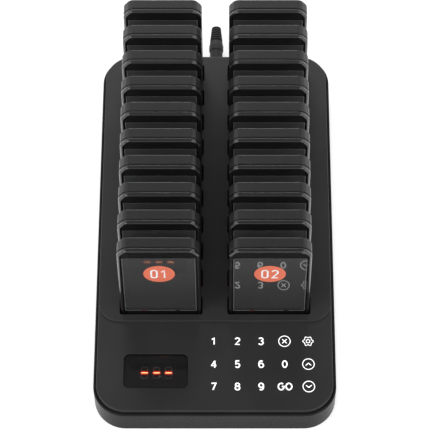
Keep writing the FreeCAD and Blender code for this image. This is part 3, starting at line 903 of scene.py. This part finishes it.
# ---- Plug ----------------------------------------------------------------
# Lengths run from the plug's face, which stops short of the jack's by a gap.
PLUG_GAP, PLUG_FACE_R, PLUG_TIP_R, PLUG_STEPS = 0.3, 2.8, 0.6, 40
GRIP_END = 20.2
GRIP_PATH = [(4.75, 0.0, 0.4), (4.8, 11.2, 0.4), (5.35, 12.2, 0.5), (5.35, 16.4, 0.3),
             (5.1, 16.8, 0.4), (4.8, GRIP_END, 0.5)]
RIBS, RIB_PITCH, RIB_GAP, RIB_R, RIB_TAPER, CORE_R = 6, 2.1667, 1.15, 4.75, 0.22, 2.2
RELIEF_END = GRIP_END + RIBS * RIB_PITCH
FLANK_BARS, FLANK_BAR_FIRST, FLANK_BAR_PITCH, FLANK_BAR_TOP = 4, 12.8, 1.05, 5.33
PLUG_PLACE = Matrix.Translation((0, HALF_L + PLUG_GAP, JACK_Z)) @ FACING_REAR


def round_spin(degrees):
    """The plug's place, turned about its own length."""
    return PLUG_PLACE @ Matrix.Rotation(math.radians(degrees), 4, "Z")


def relief_path():
    """Radius, length and rounding: narrowing ribs on a thin core, ending in a blunt tip."""
    path = []
    for i in range(RIBS):
        start, r = GRIP_END + i * RIB_PITCH, RIB_R - RIB_TAPER * i
        end_round = 0.35 if i < RIBS - 1 else 1.0
        path += [(CORE_R, start, 0.15), (CORE_R, start + RIB_GAP, 0.15), (r, start + RIB_GAP, 0.35),
                 (r - 0.08, start + RIB_PITCH, end_round)]
    return path + [(PLUG_TIP_R, RELIEF_END)]


def rib_webs(work):
    """Webs that tie the ribs together, turned by a quarter from one gap to the next."""
    web = outline(rectangle(-0.9, 0.9, 1.8, 3.0, 0.4), 3)
    for i in range(RIBS):
        start = GRIP_END + RIB_PITCH * i
        for half_turn in (0, 180):
            spin = round_spin(90 * (i % 2) + half_turn)
            work.sweep(web, [(0, start - 0.2), (0, start + RIB_GAP + 0.2)], spin)


def flank_bars(work):
    """Shallow grip bars on both flanks."""
    soft = 0.28
    shape = outline(rectangle(-1.9, 1.9, -0.3, 0.3, soft), 3)
    for side in (-90, 90):
        for k in range(FLANK_BARS):
            level = Matrix.Translation((0, 0, FLANK_BAR_FIRST + FLANK_BAR_PITCH * k))
            stand = round_spin(side) @ level @ FACING_REAR
            work.sweep(shape, [(0, 4.6), (0, FLANK_BAR_TOP, 0.2), (-soft, FLANK_BAR_TOP)], stand)
            work.lid([loop(shape, soft)], FLANK_BAR_TOP, stand)


def power_plug():
    work = Patchwork()
    path = [(PLUG_FACE_R, 0.0)] + GRIP_PATH + relief_path()
    work.sweep(circle(0, 0, 0, PLUG_STEPS), path, PLUG_PLACE, steps=4)
    work.lid([loop(circle(0, 0, PLUG_TIP_R, PLUG_STEPS))], RELIEF_END, PLUG_PLACE)
    work.lid([loop(circle(0, 0, PLUG_FACE_R, PLUG_STEPS))], 0, PLUG_PLACE, up=-1)
    rib_webs(work)
    flank_bars(work)
    return work.mesh("plug_grip", PLUG)


piece("plug_grip", power_plug(), "plug", stands_for=["power_plug"])

# ---- Pager ---------------------------------------------------------------
# Depths are negative behind the front face. The seam is the dark groove between the shells.
HALF_P = PAGER_W / 2
FOOT_CUT, FOOT_CUT_R, SHOULDER_IN, SHOULDER_DOWN, SHOULDER_R = 3.0, 1.2, 4.8, 6.0, 6.0
CUT_X, CUT_Z = HALF_P - FOOT_CUT, FOOT_CUT - PAGER_FOOT
SHOULDER_X, SHOULDER_Z = HALF_P - SHOULDER_IN, PAGER_TOP - SHOULDER_DOWN
PAGER = outline([(-HALF_P, CUT_Z, FOOT_CUT_R), (-CUT_X, -PAGER_FOOT, FOOT_CUT_R),
                 (CUT_X, -PAGER_FOOT, FOOT_CUT_R), (HALF_P, CUT_Z, FOOT_CUT_R),
                 (HALF_P, SHOULDER_Z, SHOULDER_R), (SHOULDER_X, PAGER_TOP, SHOULDER_R),
                 (-SHOULDER_X, PAGER_TOP, SHOULDER_R), (-HALF_P, SHOULDER_Z, SHOULDER_R)])
SEAM_FRONT, SEAM_REAR, SEAM_DEPTH = -2.9, -3.7, 1.4
ROLL_START, MOUTH_EASE, BACK_ROUND = -2.4, 0.25, 1.2
PANE_X, PANE_LOW, PANE_HIGH = HALF_P - 2.2, 4.5 - PAGER_FOOT, PAGER_TOP - 2.6
PANE_FACE, PANE_BACK, PANE_PLAY, PANE_EASE = -1.2, -1.9, 0.08, 0.25
INSERT_X, INSERT_LOW, INSERT_HIGH = 24.9, 0.5, 68.8
EDGE_LINE, FINE_LINE, LINE_LIFT, TAB_X, NOTCH_X = 0.42, 0.16, 0.03, 3.0, (10.2, 13.6)
LABEL_Z, LABEL_R, LABEL_SQUASH, LABEL_FACE = 49.2, 10.8, 0.945, PANE_FACE + 0.12
CONTACT_X, CONTACT_FACE = 9.0, -PAGER_FOOT - 0.19


def side_round(normal):
    """The front edge's radius, which is larger at the sides than at the top."""
    return 0.75 + 1.1 * normal.x * normal.x


def pager_front():
    work = Patchwork()
    mouth = outline(rectangle(-PANE_X, PANE_X, PANE_LOW, PANE_HIGH, 1.0, 5.0), 5)
    margin = 1.6
    work.sweep(PAGER, [(-margin, SEAM_FRONT), (0, SEAM_FRONT, 0.35), (0, ROLL_START)], FACING_FRONT)
    edge = work.roll(PAGER, side_round, ROLL_START, 0, FACING_FRONT)
    work.lid([edge, loop(mouth, -MOUTH_EASE)], 0, FACING_FRONT)
    work.sweep(mouth, [(MOUTH_EASE, 0), (0, 0, MOUTH_EASE), (0, PANE_BACK)], FACING_FRONT, steps=2)
    work.lid([loop(PAGER, margin)], SEAM_FRONT, FACING_FRONT, up=-1)
    return work.mesh("pager_front", PAGER_FRONT)


def pager_pane():
    work = Patchwork()
    half, low, high = PANE_X - PANE_PLAY, PANE_LOW + PANE_PLAY, PANE_HIGH - PANE_PLAY
    pane = outline(rectangle(-half, half, low, high, 0.9, 4.9), 5)
    insert = outline(rectangle(-INSERT_X, INSERT_X, INSERT_LOW, INSERT_HIGH, 0.3), 2)
    work.sweep(pane, [(0, PANE_BACK), (0, PANE_FACE, PANE_EASE), (-PANE_EASE, PANE_FACE)], FACING_FRONT)
    work.lid([loop(pane, PANE_EASE), loop(insert)], PANE_FACE, FACING_FRONT)
    work.lid([loop(insert)], PANE_FACE, FACING_FRONT, slot=1)
    return work.mesh("pager_pane", GLASS_BLACK, GLASS_GREY)


def pager_edge_lines():
    """The insert's bright cut edge, with a tab at the top and two notches at the foot."""
    work = Patchwork()
    x, low, high = INSERT_X, INSERT_LOW, INSERT_HIGH
    low_top, fine_foot, (near, far) = low + EDGE_LINE, high - FINE_LINE, NOTCH_X
    bars = [(-x, -TAB_X, fine_foot, high), (TAB_X, x, fine_foot, high),
            (-TAB_X, TAB_X, high, high + FINE_LINE),
            (-x, EDGE_LINE - x, low, high), (x - EDGE_LINE, x, low, high),
            (-x, -far, low, low_top), (-near, near, low, low_top), (far, x, low, low_top)]
    for k, corners in enumerate(bars):
        shape = outline(rectangle(*corners, 0.1), 2)
        face = PANE_FACE + LINE_LIFT + 0.002 * (k % 3)
        work.sweep(shape, [(0, PANE_FACE), (0, face)], FACING_FRONT)
        work.lid([loop(shape)], face, FACING_FRONT)
    return work.mesh("pager_edge_lines", LINE_GREY)


def pager_label():
    work = Patchwork()
    disc, ease = circle(0, 0, LABEL_R, 64), 0.2
    squash = Matrix.Diagonal((1, LABEL_SQUASH, 1, 1))
    place = Matrix.Translation((0, 0, LABEL_Z)) @ FACING_FRONT @ squash
    work.sweep(disc, [(0, PANE_FACE), (0, LABEL_FACE, 0.08), (-ease, LABEL_FACE)], place, steps=2)
    work.lid([loop(disc, ease)], LABEL_FACE, place)
    return work.mesh("pager_label", CORAL)


def pager_back():
    work = Patchwork()
    work.sweep(PAGER, [(-BACK_ROUND, -PAGER_T), (0, -PAGER_T, BACK_ROUND), (0, SEAM_REAR, 0.6),
                       (-SEAM_DEPTH, SEAM_REAR), (-SEAM_DEPTH, SEAM_FRONT)], FACING_FRONT, steps=5)
    work.lid([loop(PAGER, BACK_ROUND)], -PAGER_T, FACING_FRONT, up=-1)
    return work.mesh("pager_back", PAGER_BACK)


def pager_contacts():
    work = Patchwork()
    middle, ease = (PAGER_T - SEAM_REAR) / 2, 0.2
    for x in (-CONTACT_X, CONTACT_X):
        pad = outline(rectangle(x - 3.5, x + 3.5, middle - 2.0, middle + 2.0, 0.7), 4)
        work.sweep(pad, [(0, -PAGER_FOOT + 0.1), (0, CONTACT_FACE, 0.12), (-ease, CONTACT_FACE)])
        work.lid([loop(pad, ease)], CONTACT_FACE, up=-1)
    return work.mesh("pager_contacts", METAL)


def pager_lamps():
    """A red strip in each side of the seam, and a dim one at a notch of the insert."""
    work = Patchwork()
    low, high, front, rear = -8.0, 6.0, 0.05 - SEAM_FRONT, -0.05 - SEAM_REAR
    for x in (SEAM_DEPTH - HALF_P, HALF_P - SEAM_DEPTH):
        strip = outline(rectangle(x - 0.25, x + 0.25, front, rear, 0.1), 2)
        work.sweep(strip, [(0, low), (0, high)])
        work.lid([loop(strip)], high)
        work.lid([loop(strip)], low, up=-1)
    notch = outline(rectangle(-13.4, -10.4, 0.1, 0.9, 0.2), 2)
    face = PANE_FACE + LINE_LIFT
    work.sweep(notch, [(0, PANE_FACE), (0, face)], FACING_FRONT, slot=1)
    work.lid([loop(notch)], face, FACING_FRONT, slot=1)
    return work.mesh("pager_lamps", LAMP, LAMP_DIM)


SHARED = {
    "front": (pager_front(), "pager_front", ["front_shell"]),
    "back": (pager_back(), "pager_back", ["back_shell"]),
    "pane": (pager_pane(), "window_gloss", []),
    "edge_lines": (pager_edge_lines(), "print_white", []),
    "label": (pager_label(), "label_coral", []),
    "contacts": (pager_contacts(), "contact_metal", []),
    "lamps": (pager_lamps(), "digit_red", []),
}
ON_LABEL = Matrix.Translation((0, -LABEL_FACE - PRINT_GAP, LABEL_Z)) @ Matrix.Rotation(
    math.pi / 2, 4, "X")
for number, at in slot_places():
    place = Matrix.Translation(at) @ Matrix.Rotation(-LEAN, 4, "X")
    tag = f"pager_{number:02d}"
    for part, (data, slot, nodes) in SHARED.items():
        piece(f"{tag}_{part}", data, tag, place, [f"{tag}_{n}" for n in nodes])
    digits = glyphs(f"{tag}_number", f"{number:02d}", LABEL_TYPE, LABEL_WHITE)
    piece(f"{tag}_number", digits, tag, place @ ON_LABEL)

# ---- CAD nodes that stay -------------------------------------------------
KEPT = {"plug_barrel": METAL, "dc_jack": SMALL, "display_module": LED_BLOCK, "display_spacer": SMALL,
        "control_board": BOARD, "main_board": BOARD, "charging_board": BOARD, "charging_pins": METAL,
        "radio_module": METAL, "buzzer": SMALL, "ribbon_cable": SMALL}
for name, material in KEPT.items():
    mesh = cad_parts[name].data
    mesh.materials.clear()
    mesh.materials.append(material)

# ---- Stage and lights ----------------------------------------------------
LIGHT_AIM = Vector((0, 0, 0.03))


def area_light(name, place, width, height, power):
    data = bpy.data.lights.new(name, "AREA")
    data.shape = "RECTANGLE"
    data.size, data.size_y = width, height
    data.energy = power
    light = bpy.data.objects.new(name, data)
    bpy.context.scene.collection.objects.link(light)
    light.location = place
    light.rotation_euler = (LIGHT_AIM - Vector(place)).to_track_quat("-Z", "Y").to_euler()
    return light


area_light("left_softbox", (-1.10, -0.65, 1.60), 0.8, 0.8, 13)
area_light("right_softbox", (1.05, -0.70, 1.60), 0.8, 0.8, 8.9)
area_light("rear_softbox", (-0.15, 1.5, 0.98), 1.0, 0.4, 13)
fill = area_light("overhead_fill", (0.0, -0.33, 1.60), 0.3, 0.4, 6)
fill.visible_glossy = False


def studio_world():
    """White round the horizon and below it, and darker overhead."""
    world = bpy.data.worlds.new("studio")
    world.use_nodes = True
    tree = world.node_tree
    tree.nodes.clear()
    parts, room = new_node(tree, "SeparateXYZ"), new_node(tree, "Background")
    tree.links.new(new_node(tree, "TexCoord").outputs["Generated"], parts.inputs["Vector"])
    shade = two_tones(tree, parts.outputs["Z"], (0.52, 0.76), (1.0, 1.0, 1.0), (0.10, 0.10, 0.10))
    tree.links.new(shade, room.inputs["Color"])
    tree.links.new(room.outputs[0], new_node(tree, "OutputWorld").inputs["Surface"])
    return world


def paper():
    """Paper that camera, mirror and clear rays see as a white backdrop with some shadow."""
    material, tree, shader = plain("floor_paper")
    set_sockets(shader, {"Base Color": (0.85, 0.85, 0.85, 1), "Roughness": 0.9})
    glow = new_node(tree, "Emission", {"Strength": 0.60})
    soft = new_node(tree, "BsdfDiffuse", {"Color": (0.52, 0.52, 0.52, 1)})
    backdrop = new_node(tree, "AddShader")
    tree.links.new(glow.outputs[0], backdrop.inputs[0])
    tree.links.new(soft.outputs[0], backdrop.inputs[1])
    rays = new_node(tree, "LightPath").outputs
    seen = maths(tree, "MAXIMUM", rays["Is Camera Ray"], rays["Is Glossy Ray"])
    seen = maths(tree, "MAXIMUM", seen.outputs[0], rays["Is Transmission Ray"])
    mix = new_node(tree, "MixShader")
    for source, socket in zip((seen, shader, backdrop), mix.inputs):
        tree.links.new(source.outputs[0], socket)
    tree.links.new(mix.outputs[0], tree.nodes["Material Output"].inputs["Surface"])
    return material


bpy.context.scene.world = studio_world()
bpy.ops.mesh.primitive_plane_add(size=8.0, location=(0, 0, -0.0002))
floor = bpy.context.object
floor.name = "floor"
floor.data.materials.append(paper())
